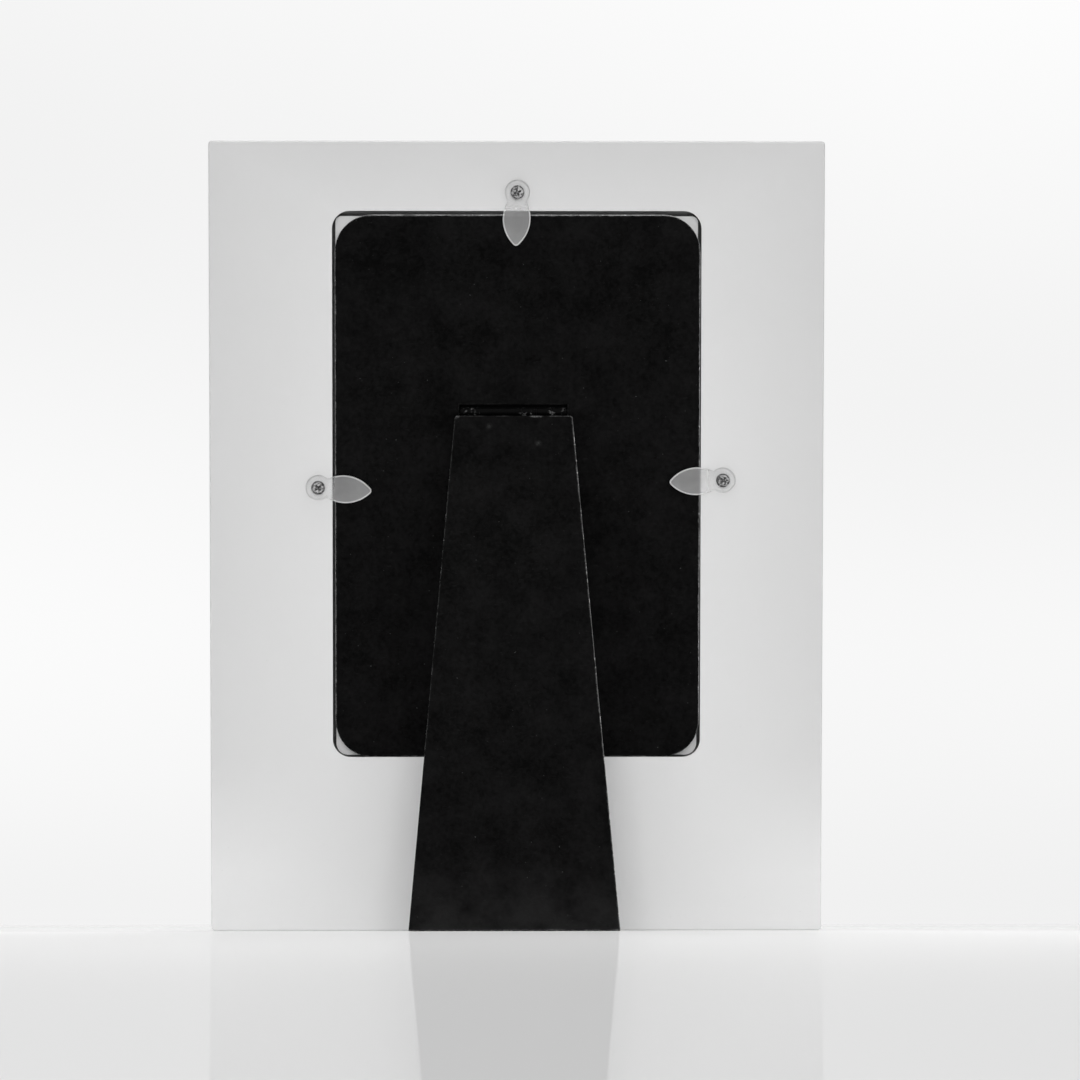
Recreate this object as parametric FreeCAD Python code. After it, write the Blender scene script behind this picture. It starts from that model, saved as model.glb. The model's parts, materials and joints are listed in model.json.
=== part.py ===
import FreeCAD, Part
import math
import os

# An easel back photo frame, standing on a shelf and seen from behind.
# X runs to the right, Y towards the picture side and Z up. Lengths are millimetres, angles degrees.
# Each piece is drawn on an upright panel: its back face is the plane y = 0, its bottom edge z = 0.
# The leg is drawn folded flat. At the end it opens to its stop and the frame leans back onto it.

V = FreeCAD.Vector
ALONG_X = V(1, 0, 0)
ALONG_Y = V(0, 1, 0)
ORIGIN = V(0, 0, 0)
DIAGONAL_SHARE = math.sqrt(0.5)

# Print, and the pane and blank insert cut to its size
print_width = 102.0
print_height = 152.4
glass_thickness = 2.0
insert_thickness = 0.3
glass_side_gap = 0.9
glass_foot_gap = 0.3
glass_top_gap = 1.5
pane_corner_clearance_share = 0.33

# Panel: one sheet, with a rebate routed into its back and a sight window cut through its front
panel_margin_beside = 34.6
panel_margin_above = 19.6
panel_margin_below = 49.55
panel_thickness = 12.0
panel_corner_radius = 1.0
panel_arris_radius = 0.5
rebate_corner_radius = 5.0
sight_lap = 3.3
sight_corner_radius = 1.5
sight_bevel = 1.4

# Backing board: grey core with black paper on both faces
board_core_thickness = 2.5
paper_thickness = 0.2
board_side_gap = 0.55
board_top_gap = 1.05
board_foot_gap = 0.05
board_corner_radius = 10.5
board_shift = 0.25

# Easel leg: grey core between two black papers
leg_core_thickness = 2.2
leg_top_width = 33.1
leg_foot_width = 58.3
leg_corner_chamfer = 0.5
leg_top_drop = 1.7

# Hinge: two stamped leaves rolled round one pin, in a slot through the backing board
hinge_height_on_board = 97.7
hinge_shift = -0.9
sheet_thickness = 0.5
bend_radius = 0.2
pin_radius = 0.65
pin_clearance = 0.05
pin_overhang = 0.15
pin_chamfer = 0.2
barrel_length = 29.8
knuckle_count = 7
knuckle_gap = 0.12
knuckle_clearance = 0.15
leaf_height = 12.0
leaf_corner_chamfer = 3.0
leaf_fit = 0.05
leg_board_gap = 0.1
heel_reach = 0.8
heel_clearance = 0.03
prong_width = 2.2
prong_spread = 13.7
prong_first_drop = 3.0
prong_pitch = 4.9
prong_depth_share = 0.8
slot_end_gap = 0.4
slot_top_gap = 0.85
slot_foot_gap = 0.1

# Rolled ends of the leaves, as angles round the pin from +Y towards +Z
board_roll_start = -90.0
board_roll_end = -385.0
leg_roll_start = -90.0
leg_roll_end = 248.0

# Turn buttons: a round head on a screw and a pointed blade with a raised rim
button_thickness = 1.2
button_head_radius = 3.5
button_length = 15.0
button_half_width = 3.9
button_tip_radius = 0.55
button_rim_width = 0.36
button_rim_height = 0.3
button_gap = 0.05
button_widest_share = 0.49
button_shoulder_share = 0.3
button_swell_share = 0.67
button_waist_angle = 47.0

# Places of the three buttons: how far each screw stands outside the rebate, and along its edge
top_screw_gap = 5.25
top_screw_shift = 0.15
left_screw_gap = 4.0
left_screw_shift = -0.65
right_screw_gap = 6.2
right_screw_shift = 1.45
top_button_heading = -91.6
left_button_heading = -3.8
right_button_heading = 182.3
top_screw_turn = 20.0
left_screw_turn = 38.0
right_screw_turn = 52.0

# Screws: small domed heads with a cross recess whose arms slope in to its floor
screw_head_radius = 1.95
screw_head_height = 1.3
screw_rim_height = 0.55
screw_shank_radius = 1.1
screw_point_length = 2.0
screw_length = 8.0
screw_fit = 0.05
screw_tip_gap = 0.5
recess_arm = 1.15
recess_floor_arm = 0.45
recess_width = 0.5
recess_depth = 0.95

# Standing pose
lean_angle = 8.5
stop_angle = 15.5

# Overrun of a cutting solid past the face it opens
overrun = 1.0

# What follows is worked out from the sizes above

# Layers through the panel, from its back face towards the picture side
board_inner = paper_thickness + board_core_thickness
lining_inner = board_inner + paper_thickness
insert_inner = lining_inner + insert_thickness
rebate_depth = insert_inner + glass_thickness

# Rebate round the pane, and the panel round the rebate
rebate_width = print_width + 2 * glass_side_gap
rebate_height = print_height + glass_foot_gap + glass_top_gap
rebate_foot = panel_margin_below
rebate_top = rebate_foot + rebate_height
rebate_middle = rebate_foot + rebate_height / 2
panel_width = rebate_width + 2 * panel_margin_beside
panel_height = rebate_top + panel_margin_above
glass_foot = rebate_foot + glass_foot_gap


def snug_radius(side_gap, end_gap):
    """The radius of a pane's corner that just clears the rebate's round corner."""
    clearance = min(side_gap, end_gap) * pane_corner_clearance_share
    spare = math.sqrt(2 * (side_gap - clearance) * (end_gap - clearance))
    return rebate_corner_radius - side_gap - end_gap + clearance - spare


pane_top_radius = snug_radius(glass_side_gap, glass_top_gap)
pane_foot_radius = snug_radius(glass_side_gap, glass_foot_gap)

# Backing board outline
board_width = rebate_width - 2 * board_side_gap
board_height = rebate_height - board_top_gap - board_foot_gap
board_foot = rebate_foot + board_foot_gap

# Hinge, measured from the pin
bore_radius = pin_radius + pin_clearance
knuckle_radius = bore_radius + sheet_thickness
knuckle_pitch = barrel_length / knuckle_count
leaf_half = sheet_thickness / 2
pin_place = V(hinge_shift, -leg_board_gap - leaf_half, board_foot + hinge_height_on_board)
leaf_top = knuckle_radius + knuckle_clearance
board_leaf_face = board_inner - pin_place.y
slot_length = barrel_length + 2 * slot_end_gap
slot_drop = knuckle_radius + slot_foot_gap
slot_rise = knuckle_radius + slot_top_gap

# Leg, measured outwards from the pin's plane when it is folded flat
leg_inner_paper = leaf_half
leg_inner_core = leg_inner_paper + paper_thickness
leg_outer_core = leg_inner_core + leg_core_thickness
leg_outer_paper = leg_outer_core + paper_thickness

# Leg length, so that its inner bottom edge is on the floor when it stands open at its stop
lean = math.radians(lean_angle)
leg_slope = math.radians(stop_angle - lean_angle)
floor_lift = -panel_arris_radius * (math.sin(lean) + math.cos(lean) - 1)
pin_above_floor = pin_place.y * math.sin(lean) + pin_place.z * math.cos(lean) + floor_lift
leg_length = (pin_above_floor + leg_inner_paper * math.sin(leg_slope)) / math.cos(leg_slope)

# Turn buttons and screws, outwards from the panel's back face
button_top = button_gap + button_thickness
screw_seat = button_top + button_gap
screw_reach = screw_length - screw_seat
screw_hole_radius = screw_shank_radius + screw_fit
button_places = {
    "top": (
        V(top_screw_shift, 0, rebate_top + top_screw_gap),
        top_button_heading,
        top_screw_turn,
    ),
    "left": (
        V(-rebate_width / 2 - left_screw_gap, 0, rebate_middle + left_screw_shift),
        left_button_heading,
        left_screw_turn,
    ),
    "right": (
        V(rebate_width / 2 + right_screw_gap, 0, rebate_middle + right_screw_shift),
        right_button_heading,
        right_screw_turn,
    ),
}


def runs_along_y(edge):
    """Whether a straight edge runs along Y."""
    first, last = [corner.Point for corner in edge.Vertexes]
    return abs(first.x - last.x) + abs(first.z - last.z) < Part.Precision.confusion()


def broad_face_edges(plate):
    """The edges round the back and front faces of a plate that stands across Y."""
    return [
        edge
        for face in plate.Faces
        for edge in face.Edges
        if abs(face.normalAt(0, 0).y) > DIAGONAL_SHARE
    ]


def rounded_plate(width, height, back, front, radius, middle, foot):
    """A plate with four round corners, between two planes across Y, standing on the height foot."""
    plate = Part.makeBox(width, front - back, height, V(middle - width / 2, back, foot))
    corners = [edge for edge in plate.Edges if runs_along_y(edge)]
    return plate.makeFillet(radius, corners)


def prism(outline, thickness):
    """A solid as thick as stated along +Y, from the corners of its outline."""
    wire = Part.makePolygon(outline + outline[:1])
    return Part.Face(wire).extrude(ALONG_Y * thickness)


def frame_panel():
    """The panel with its softened outer edges, rebate, bevelled sight window and pilot holes."""
    body = rounded_plate(
        panel_width, panel_height, 0, panel_thickness, panel_corner_radius, 0, 0
    )
    body = body.makeFillet(panel_arris_radius, broad_face_edges(body))
    rebate = rounded_plate(
        rebate_width,
        rebate_height,
        -overrun,
        rebate_depth,
        rebate_corner_radius,
        0,
        rebate_foot,
    )
    body = body.cut(rebate).cut(sight_window())
    for place, heading, turn in button_places.values():
        pilot = Part.makeCylinder(
            screw_hole_radius,
            screw_reach + screw_tip_gap + overrun,
            place - ALONG_Y * overrun,
            ALONG_Y,
        )
        body = body.cut(pilot)
    return body


def sight_window():
    """What is cut away in front of the pane: the window, widening in a bevel at the front face."""
    width = print_width - 2 * sight_lap
    height = print_height - 2 * sight_lap
    foot = glass_foot + sight_lap
    window = rounded_plate(
        width,
        height,
        rebate_depth - overrun,
        panel_thickness,
        sight_corner_radius,
        0,
        foot,
    )
    inner = rounded_outline(width, height, sight_corner_radius, panel_thickness - sight_bevel, foot)
    outer = rounded_outline(
        width + 2 * sight_bevel,
        height + 2 * sight_bevel,
        sight_corner_radius + sight_bevel,
        panel_thickness,
        foot - sight_bevel,
    )
    return window.fuse(Part.makeLoft([inner, outer], True))


def rounded_outline(width, height, radius, depth, foot):
    """The closed outline of a plate with round corners, in the plane y = depth."""
    side = width / 2
    top = foot + height
    middles = [
        (side - radius, top - radius, 45),
        (radius - side, top - radius, 135),
        (radius - side, foot + radius, 225),
        (side - radius, foot + radius, 315),
    ]
    arcs = [
        Part.Arc(*[turned_point(x, depth, z, radius, angle + turn) for turn in (-45, 0, 45)])
        for x, z, angle in middles
    ]
    edges = []
    for number, arc in enumerate(arcs):
        following = arcs[(number + 1) % len(arcs)]
        edges += [arc.toShape(), Part.makeLine(arc.EndPoint, following.StartPoint)]
    return Part.Wire(edges)


def turned_point(x, depth, z, radius, angle):
    """The point on a circle about (x, z) in the plane y = depth, from +X towards +Z."""
    turn = math.radians(angle)
    return V(x + radius * math.cos(turn), depth, z + radius * math.sin(turn))


def pane(back, front):
    """The glass or the paper insert: one outline, cut to the print's size."""
    plate = Part.makeBox(
        print_width, front - back, print_height, V(-print_width / 2, back, glass_foot)
    )
    for above, radius in ((True, pane_top_radius), (False, pane_foot_radius)):
        corners = [
            edge
            for edge in plate.Edges
            if runs_along_y(edge) and (edge.CenterOfMass.z > rebate_middle) == above
        ]
        plate = plate.makeFillet(radius, corners)
    return plate


def board_sheet(back, front):
    """One whole layer of the backing board."""
    return rounded_plate(
        board_width, board_height, back, front, board_corner_radius, board_shift, board_foot
    )


def board_layer(back, front):
    """One layer of the backing board, with the slot that the hinge stands in."""
    layer = board_sheet(back, front)
    slot = Part.makeBox(
        slot_length,
        front - back + 2 * overrun,
        slot_drop + slot_rise,
        V(pin_place.x - slot_length / 2, back - overrun, pin_place.z - slot_drop),
    )
    return layer.cut(slot)


def backing_board():
    """The board's core, with the seat of the hinge leaf pressed into its inner face."""
    core = board_layer(paper_thickness, board_inner)
    seat = leaf_plate(knuckle_radius, board_leaf_face - sheet_thickness, leaf_fit)
    core = core.cut(seat.translated(pin_place))
    for tooth in prongs(board_leaf_face - sheet_thickness, board_prong_length(), leaf_fit):
        core = core.cut(tooth.translated(pin_place))
    return core


def leaf_plate(top, outer, grow):
    """The flat of a leaf below the height -top, with its outer face at y = outer.

    grow is nothing for the leaf and its clearance all round for the seat cut for it."""
    side = barrel_length / 2 + grow
    foot = -leaf_top - leaf_height - grow
    clip = leaf_corner_chamfer
    outline = [
        V(-side, outer - grow, -top),
        V(side, outer - grow, -top),
        V(side, outer - grow, foot + clip),
        V(side - clip, outer - grow, foot),
        V(clip - side, outer - grow, foot),
        V(-side, outer - grow, foot + clip),
    ]
    return prism(outline, sheet_thickness + 2 * grow)


def prong_places():
    """Where the four prongs of a leaf are bent out of it, from the pin."""
    for side in (-1, 1):
        for row in (0, 1):
            yield side * prong_spread / 2, -leaf_top - prong_first_drop - row * prong_pitch


def prongs(outer, length, grow):
    """The pointed prongs that stand out of a leaf's outer face, towards the back."""
    half = prong_width / 2 + grow
    teeth = []
    for x, z in prong_places():
        outline = [
            V(x - half, outer + sheet_thickness, z + grow),
            V(x + half, outer + sheet_thickness, z + grow),
            V(x + half, outer, z + grow),
            V(x, outer - length - grow, z + grow),
            V(x - half, outer, z + grow),
        ]
        wire = Part.makePolygon(outline + outline[:1])
        teeth.append(Part.Face(wire).extrude(V(0, 0, -sheet_thickness - 2 * grow)))
    return teeth


def prong_windows(outer, length):
    """The pointed holes that the prongs leave in the leaf, right below them."""
    half = prong_width / 2
    holes = []
    for x, z in prong_places():
        root = z - sheet_thickness
        outline = [
            V(x - half, outer - overrun, root),
            V(x + half, outer - overrun, root),
            V(x, outer - overrun, root - length),
        ]
        holes.append(prism(outline, sheet_thickness + 2 * overrun))
    return holes


def board_prong_length():
    """How far the board leaf's prongs reach into the core."""
    return (board_core_thickness - sheet_thickness) * prong_depth_share


def leg_prong_length():
    """How far the leg leaf's prongs reach through the inner paper into the core."""
    return paper_thickness + leg_core_thickness * prong_depth_share


def polar(radius, angle):
    """A point across the pin at this distance and angle, from +Y towards +Z."""
    turn = math.radians(angle)
    return V(0, radius * math.cos(turn), radius * math.sin(turn))


def rolled_sheet(start, end):
    """A knuckle: the sheet rolled round the pin from one angle to another, one knuckle long."""
    middle = (start + end) / 2
    outer = Part.Arc(*[polar(knuckle_radius, angle) for angle in (start, middle, end)])
    inner = Part.Arc(*[polar(bore_radius, angle) for angle in (end, middle, start)])
    outline = [
        outer.toShape(),
        Part.makeLine(outer.EndPoint, inner.StartPoint),
        inner.toShape(),
        Part.makeLine(inner.EndPoint, outer.StartPoint),
    ]
    return Part.Face(Part.Wire(outline)).extrude(ALONG_X * (knuckle_pitch - knuckle_gap))


def knuckle_start(number):
    """Where a knuckle begins along the pin, counted from the left."""
    return number * knuckle_pitch + knuckle_gap / 2 - barrel_length / 2


def fused(first, others):
    """One solid of several that meet."""
    return first.fuse(others).removeSplitter()


def hinge_board_leaf():
    """The leaf on the board: a plate inside, a web out through the slot and the outer knuckles."""
    face = board_leaf_face
    web_start = leaf_top
    bend_middle = face - bend_radius - sheet_thickness
    bend_drop = -knuckle_radius - bend_radius
    outer_bend = Part.Arc(
        V(0, bend_middle, sheet_thickness - knuckle_radius),
        V(
            0,
            bend_middle + (bend_radius + sheet_thickness) * DIAGONAL_SHARE,
            bend_drop + (bend_radius + sheet_thickness) * DIAGONAL_SHARE,
        ),
        V(0, face, bend_drop),
    )
    inner_bend = Part.Arc(
        V(0, face - sheet_thickness, bend_drop),
        V(
            0,
            bend_middle + bend_radius * DIAGONAL_SHARE,
            bend_drop + bend_radius * DIAGONAL_SHARE,
        ),
        V(0, bend_middle, -knuckle_radius),
    )
    web_top = V(0, web_start, sheet_thickness - knuckle_radius)
    web_foot = V(0, web_start, -knuckle_radius)
    outline = [
        Part.makeLine(web_top, outer_bend.StartPoint),
        outer_bend.toShape(),
        Part.makeLine(outer_bend.EndPoint, inner_bend.StartPoint),
        inner_bend.toShape(),
        Part.makeLine(inner_bend.EndPoint, web_foot),
        Part.makeLine(web_foot, web_top),
    ]
    bend = Part.Face(Part.Wire(outline)).extrude(ALONG_X * barrel_length)
    bend.translate(ALONG_X * (-barrel_length / 2))
    pieces = [leaf_plate(-bend_drop, face - sheet_thickness, 0)]
    pieces += prongs(face - sheet_thickness, board_prong_length(), 0)
    for number in range(0, knuckle_count, 2):
        start = ALONG_X * knuckle_start(number)
        tongue = Part.makeBox(
            knuckle_pitch - knuckle_gap, web_start, sheet_thickness, V(0, 0, -knuckle_radius)
        )
        pieces.append(tongue.translated(start))
        pieces.append(rolled_sheet(board_roll_start, board_roll_end).translated(start))
    leaf = fused(bend, pieces)
    for hole in prong_windows(face - sheet_thickness, board_prong_length()):
        leaf = leaf.cut(hole)
    return leaf.translated(pin_place)


def hinge_leg_leaf():
    """The leaf on the leg: a plate under it, the inner knuckles and a heel on each as the stop."""
    plate = leaf_plate(leaf_top, -leaf_half, 0)
    pieces = prongs(-leaf_half, leg_prong_length(), 0)
    width = knuckle_pitch - knuckle_gap
    neck_top = bore_radius + leaf_half
    heel_foot = sheet_thickness - knuckle_radius + heel_clearance
    for number in range(1, knuckle_count, 2):
        start = ALONG_X * knuckle_start(number)
        neck = Part.makeBox(
            width, sheet_thickness, leaf_top - neck_top, V(0, -leaf_half, -leaf_top)
        )
        heel = Part.makeBox(
            width,
            knuckle_radius + heel_reach - bore_radius,
            sheet_thickness,
            V(0, bore_radius, heel_foot),
        )
        heel.rotate(ORIGIN, ALONG_X, stop_angle)
        roll = rolled_sheet(leg_roll_start, leg_roll_end)
        pieces += [piece.translated(start) for piece in (neck, heel, roll)]
    leaf = fused(plate, pieces)
    for hole in prong_windows(-leaf_half, leg_prong_length()):
        leaf = leaf.cut(hole)
    return leaf.translated(pin_place)


def hinge_pin():
    """The pin through every knuckle, with chamfered ends."""
    length = barrel_length + 2 * pin_overhang
    pin = Part.makeCylinder(pin_radius, length, ORIGIN, ALONG_X)
    rims = [edge for edge in pin.Edges if edge.Closed]
    pin = pin.makeChamfer(pin_chamfer, rims)
    return pin.translated(pin_place - ALONG_X * (length / 2))


def leg_layer(inner, outer):
    """One layer of the leg between two distances out from the pin's plane, folded flat."""
    top = leg_top_width / 2
    foot = leg_foot_width / 2
    clip = leg_corner_chamfer
    outline = [
        V(top, -outer, -leg_top_drop - clip),
        V(top - clip, -outer, -leg_top_drop),
        V(clip - top, -outer, -leg_top_drop),
        V(-top, -outer, -leg_top_drop - clip),
        V(-foot, -outer, -leg_length),
        V(foot, -outer, -leg_length),
    ]
    layer = prism(outline, outer - inner)
    for tooth in prongs(-leaf_half, leg_prong_length(), leaf_fit):
        layer = layer.cut(tooth)
    return layer.translated(pin_place)


def button_outline():
    """The button seen from behind, its screw at the origin and its tip along +X."""
    waist = button_waist_angle
    widest = button_length * button_widest_share
    tip_start = button_length - button_tip_radius
    drop = button_half_width - button_tip_radius
    side_radius = ((tip_start - widest) ** 2 + drop**2) / (2 * drop)
    side_middle = math.asin((tip_start - widest) / side_radius) / 2
    side_x = widest + side_radius * math.sin(side_middle)
    side_z = button_half_width - side_radius * (1 - math.cos(side_middle))
    shoulder_x = button_length * button_shoulder_share
    waist_x = button_head_radius * math.cos(math.radians(waist))
    waist_z = button_head_radius * math.sin(math.radians(waist))
    shoulder_z = waist_z + (button_half_width - waist_z) * button_swell_share
    upper = [
        (waist_x, waist_z),
        (shoulder_x, shoulder_z),
        (widest, button_half_width),
        (side_x, side_z),
        (tip_start, button_tip_radius),
    ]
    points = [V(x, 0, z) for x, z in upper]
    mirrored = [V(x, 0, -z) for x, z in reversed(upper)]
    arcs = [
        Part.Arc(*points[0:3]),
        Part.Arc(*points[2:5]),
        Part.Arc(points[4], V(button_length, 0, 0), mirrored[0]),
        Part.Arc(*mirrored[0:3]),
        Part.Arc(*mirrored[2:5]),
        Part.Arc(mirrored[4], V(-button_head_radius, 0, 0), points[0]),
    ]
    return Part.Wire([arc.toShape() for arc in arcs])


def turn_button():
    """A moulded turn button flat on the plane y = 0, its screw at the origin."""
    face = Part.Face(button_outline())
    body = face.extrude(ALONG_Y * -button_thickness)
    head = Part.makeCylinder(
        button_head_radius, button_thickness + 2 * overrun, ALONG_Y * overrun, -ALONG_Y
    )
    floor = face.makeOffset2D(-button_rim_width)
    floor.translate(ALONG_Y * (button_rim_height - button_thickness))
    pocket = floor.extrude(ALONG_Y * -(button_rim_height + overrun)).cut(head)
    hole = Part.makeCylinder(
        screw_hole_radius, button_thickness + 2 * overrun, ALONG_Y * overrun, -ALONG_Y
    )
    return body.cut(pocket).cut(hole)


def screw():
    """A domed screw, its head's underside on the plane y = 0 and its axis along Y."""
    rise = screw_head_height - screw_rim_height
    dome_radius = (screw_head_radius**2 + rise**2) / (2 * rise)
    dome = Part.makeSphere(dome_radius, ALONG_Y * (dome_radius - screw_head_height))
    head = Part.makeCylinder(screw_head_radius, screw_head_height, ORIGIN, -ALONG_Y)
    straight = screw_length - screw_point_length
    shank = Part.makeCylinder(screw_shank_radius, straight, ORIGIN, ALONG_Y)
    point = Part.makeCone(
        screw_shank_radius, 0, screw_point_length, ALONG_Y * straight, ALONG_Y
    )
    arm = recess_arm_solid()
    body = fused(head.common(dome), [shank, point])
    return body.cut(arm).cut(arm.rotated(ORIGIN, ALONG_Y, 90))


def recess_arm_solid():
    """One slot of the cross recess in a screw's head, its ends sloping in to the floor."""
    floor = recess_depth - screw_head_height
    slope = (recess_arm - recess_floor_arm) / recess_depth
    rise = screw_head_height + overrun
    mouth = recess_arm + slope * overrun
    outline = [
        V(-mouth, -rise, -recess_width / 2),
        V(mouth, -rise, -recess_width / 2),
        V(recess_floor_arm, floor, -recess_width / 2),
        V(-recess_floor_arm, floor, -recess_width / 2),
    ]
    wire = Part.makePolygon(outline + outline[:1])
    return Part.Face(wire).extrude(V(0, 0, recess_width))


def placed(shape, place, heading, lift):
    """A button or screw turned to its heading and set on its place, lift out from the panel."""
    turned = shape.rotated(ORIGIN, ALONG_Y, -heading)
    return turned.translated(place - ALONG_Y * lift)


def fixed_pieces():
    """Every piece that stays with the panel, in its upright place."""
    pieces = {
        "frame_panel": frame_panel(),
        "glass_pane": pane(insert_inner, rebate_depth),
        "photo_insert": pane(lining_inner, insert_inner),
        "backing_board": backing_board(),
        "board_facing": board_layer(0, paper_thickness),
        "board_lining": board_sheet(board_inner, lining_inner),
        "hinge_board_leaf": hinge_board_leaf(),
        "hinge_pin": hinge_pin(),
    }
    for side, (place, heading, turn) in button_places.items():
        pieces["screw_" + side] = placed(screw(), place, turn, screw_seat)
    return pieces


def leg_pieces():
    """Every piece that swings with the leg, folded flat."""
    return {
        "leg_core": leg_layer(leg_inner_core, leg_outer_core),
        "leg_facing_inner": leg_layer(leg_inner_paper, leg_inner_core),
        "leg_facing_outer": leg_layer(leg_outer_core, leg_outer_paper),
        "hinge_leg_leaf": hinge_leg_leaf(),
    }


def button_pieces():
    """The three turn buttons, each on its screw."""
    return {
        "turn_button_" + side: placed(turn_button(), place, heading, button_gap)
        for side, (place, heading, turn) in button_places.items()
    }


def standing_pieces():
    """All pieces with the leg open at its stop and the panel leant back, on the floor z = 0."""
    pieces = fixed_pieces()
    pieces.update(button_pieces())
    for name, shape in leg_pieces().items():
        pieces[name] = shape.rotated(pin_place, ALONG_X, -stop_angle)
    leant = {
        name: shape.rotated(ORIGIN, ALONG_X, lean_angle) for name, shape in pieces.items()
    }
    room = Part.makeCompound(list(leant.values())).optimalBoundingBox(False, False)
    shift = V(0, -(room.YMin + room.YMax) / 2, floor_lift)
    return {name: shape.translated(shift) for name, shape in leant.items()}, shift


pieces, row_shift = standing_pieces()
os.makedirs("parts", exist_ok=True)
for name, shape in pieces.items():
    shape.exportStep("parts/" + name + ".step")
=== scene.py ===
import json
import math

import bmesh
import bpy
from mathutils import Matrix, Quaternion, Vector, noise


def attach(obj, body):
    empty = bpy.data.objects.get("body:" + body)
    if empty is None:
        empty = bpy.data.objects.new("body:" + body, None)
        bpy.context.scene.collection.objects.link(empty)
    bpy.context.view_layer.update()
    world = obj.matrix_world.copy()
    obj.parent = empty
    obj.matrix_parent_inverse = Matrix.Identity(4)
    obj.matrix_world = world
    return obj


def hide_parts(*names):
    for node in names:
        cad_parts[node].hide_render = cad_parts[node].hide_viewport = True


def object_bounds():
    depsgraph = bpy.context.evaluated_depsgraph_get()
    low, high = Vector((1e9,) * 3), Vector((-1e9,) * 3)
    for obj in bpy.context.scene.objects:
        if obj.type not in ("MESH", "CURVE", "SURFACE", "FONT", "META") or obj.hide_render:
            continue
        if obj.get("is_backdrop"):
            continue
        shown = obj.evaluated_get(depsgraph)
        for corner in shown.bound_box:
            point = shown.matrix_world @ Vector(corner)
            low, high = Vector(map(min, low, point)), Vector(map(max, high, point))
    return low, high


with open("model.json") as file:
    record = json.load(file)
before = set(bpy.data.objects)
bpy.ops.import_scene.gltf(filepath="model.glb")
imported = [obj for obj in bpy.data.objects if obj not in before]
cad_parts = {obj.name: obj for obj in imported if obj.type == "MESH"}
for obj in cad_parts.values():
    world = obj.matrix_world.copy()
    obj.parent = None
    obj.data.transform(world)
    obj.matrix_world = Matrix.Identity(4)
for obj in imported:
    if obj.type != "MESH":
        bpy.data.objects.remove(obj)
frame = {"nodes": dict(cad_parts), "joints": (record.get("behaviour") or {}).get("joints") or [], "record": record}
cad_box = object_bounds()

# Lengths below are millimetres, and MM brings them to the frame's metres. Angles are degrees.
MM = 0.001
PER_MM = 1 / MM

# Camera, at the photograph's place: low, and 1.4 m behind the frame
camera_place = Vector((-12.3, -1399.3, 8.0))
camera_yaw = 0.774
camera_pitch = 4.165
camera_roll = -0.057
camera_lens = 165.7
camera_sensor = 36.0

# Turn buttons, in the same sizes as their solids
button_thickness = 1.2
button_head_radius = 3.5
button_length = 15.0
button_half_width = 3.9
button_tip_radius = 1.0
button_rim_width = 0.32
button_rim_height = 0.3
button_hole_radius = 1.15
button_edge_round = 0.12
button_gap = 0.05
button_widest_share = 0.49
button_shoulder_share = 0.3
button_swell_share = 0.67
button_waist_angle = 47.0
button_headings = {"top": -91.6, "left": -3.8, "right": 182.3}

# Rounded edges of the buttons, in shares of the rounding. The first number is inwards. The second is
# up from the foot, down from the top of the rim's lip, and up from the pocket's floor.
button_side_shares = ((1, 0), (0.3, 0.3), (0, 1))
button_lip_shares = ((-0.9, 0), (-0.2, 0.35), (0.2, 1))
button_pocket_shares = ((0.5, 0.6), (1.4, 0))
button_lip_start_share = 1.3

# Screws: domed heads with a cross recess painted dark as shade, slight dents, and a rim painted dark in blotches
# as painted reflection
screw_turns = {"top": 20.0, "left": 38.0, "right": 52.0}
screw_rim_height = 0.55
screw_shank_radius = 1.1
screw_point_length = 2.0
screw_tip_share = 0.1
screw_edge_round = 0.12
screw_edge_shares = (0.3, 0.35)
screw_eye_share = 0.25
screw_dent = 0.02
screw_dents_per_mm = 2.2
# The rim's painted reflection: where it starts, how dark, and its blotches
screw_rim_share = 0.66
screw_rim_shade = 1.3
screw_rim_blotch = 2.0
screw_blotches_per_mm = 1.4
recess_arm = 1.15
recess_floor_arm = 0.45
recess_width = 0.56
recess_depth = 0.95
recess_wall = 0.1
recess_shade = 0.5
recess_shade_rise = 2.0

# Rebate in the panel's back, measured from the panel's lower back edge
rebate_half_width = 51.9
rebate_foot = 49.55
rebate_top = 203.75
rebate_depth = 5.2
rebate_arris = 0.3
# The rebate's top wall is painted paler as light from the floor: how far below the top this fades in
rebate_top_fade = (1.0, 0.5)

# Papers on the backing board and on the leg
board_paper_insets = {"left": 0.05, "right": 0.12, "foot": 0.05, "top": 0.22}
board_paper_corner_radius = 10.0
slot_length = 30.6
slot_drop = 1.3
slot_rise = 2.05
leg_top_width = 33.1
leg_corner_chamfer = 0.5
leg_worn_side = 0.11

# Cut edges of the papers: the spacing of their points, and how they round onto the face, in shares of
# the rounding and of the thickness. The first loops stand on the upright side.
paper_edge_step = 0.6
paper_edge_round = 0.14
paper_edge_shares = ((0, 0), (0, 0.35), (0.35, 0.75), (1, 0.96), (2.5, 1))
side_loops = 2
rubbed_loops = 4

# Uneven cuts, by depth and seed, and rubbed edges, by seed and strength
board_fray = (0.07, 1.0)
leg_fray = (0.035, 2.0)
board_rub = (3.0, 0.8)
slot_rub = (5.0, 0.12)
leg_rub = (7.0, 0.75)
leg_left_rub_share = 0.35
# Two places on the leg's top edge, rubbed and also painted highlights, and how far down they reach
leg_rubbed_highlight_places = ((-16.2, 0.9), (6.5, 1.5))
leg_rubbed_highlight_depth = 0.6

# How far the noise that makes them reaches from 0
noise_peak = 0.5

# Long patches and short nicks along the rubbed edges: their grain and how much they count
rub_base_share = 0.5
rub_patch_grain = 4
rub_patch_share = 1.4
rub_nick_grain = 1.1
rub_nick_share = 1.3

# Hinge barrel, and where its paint is rubbed off and its glints are painted: shares along it and half lengths
barrel_length = 29.8
rubbed_glint_knuckles = ((0.11, 1.3), (0.62, 1.2), (0.86, 0.6), (0.97, 0.35))

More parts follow.
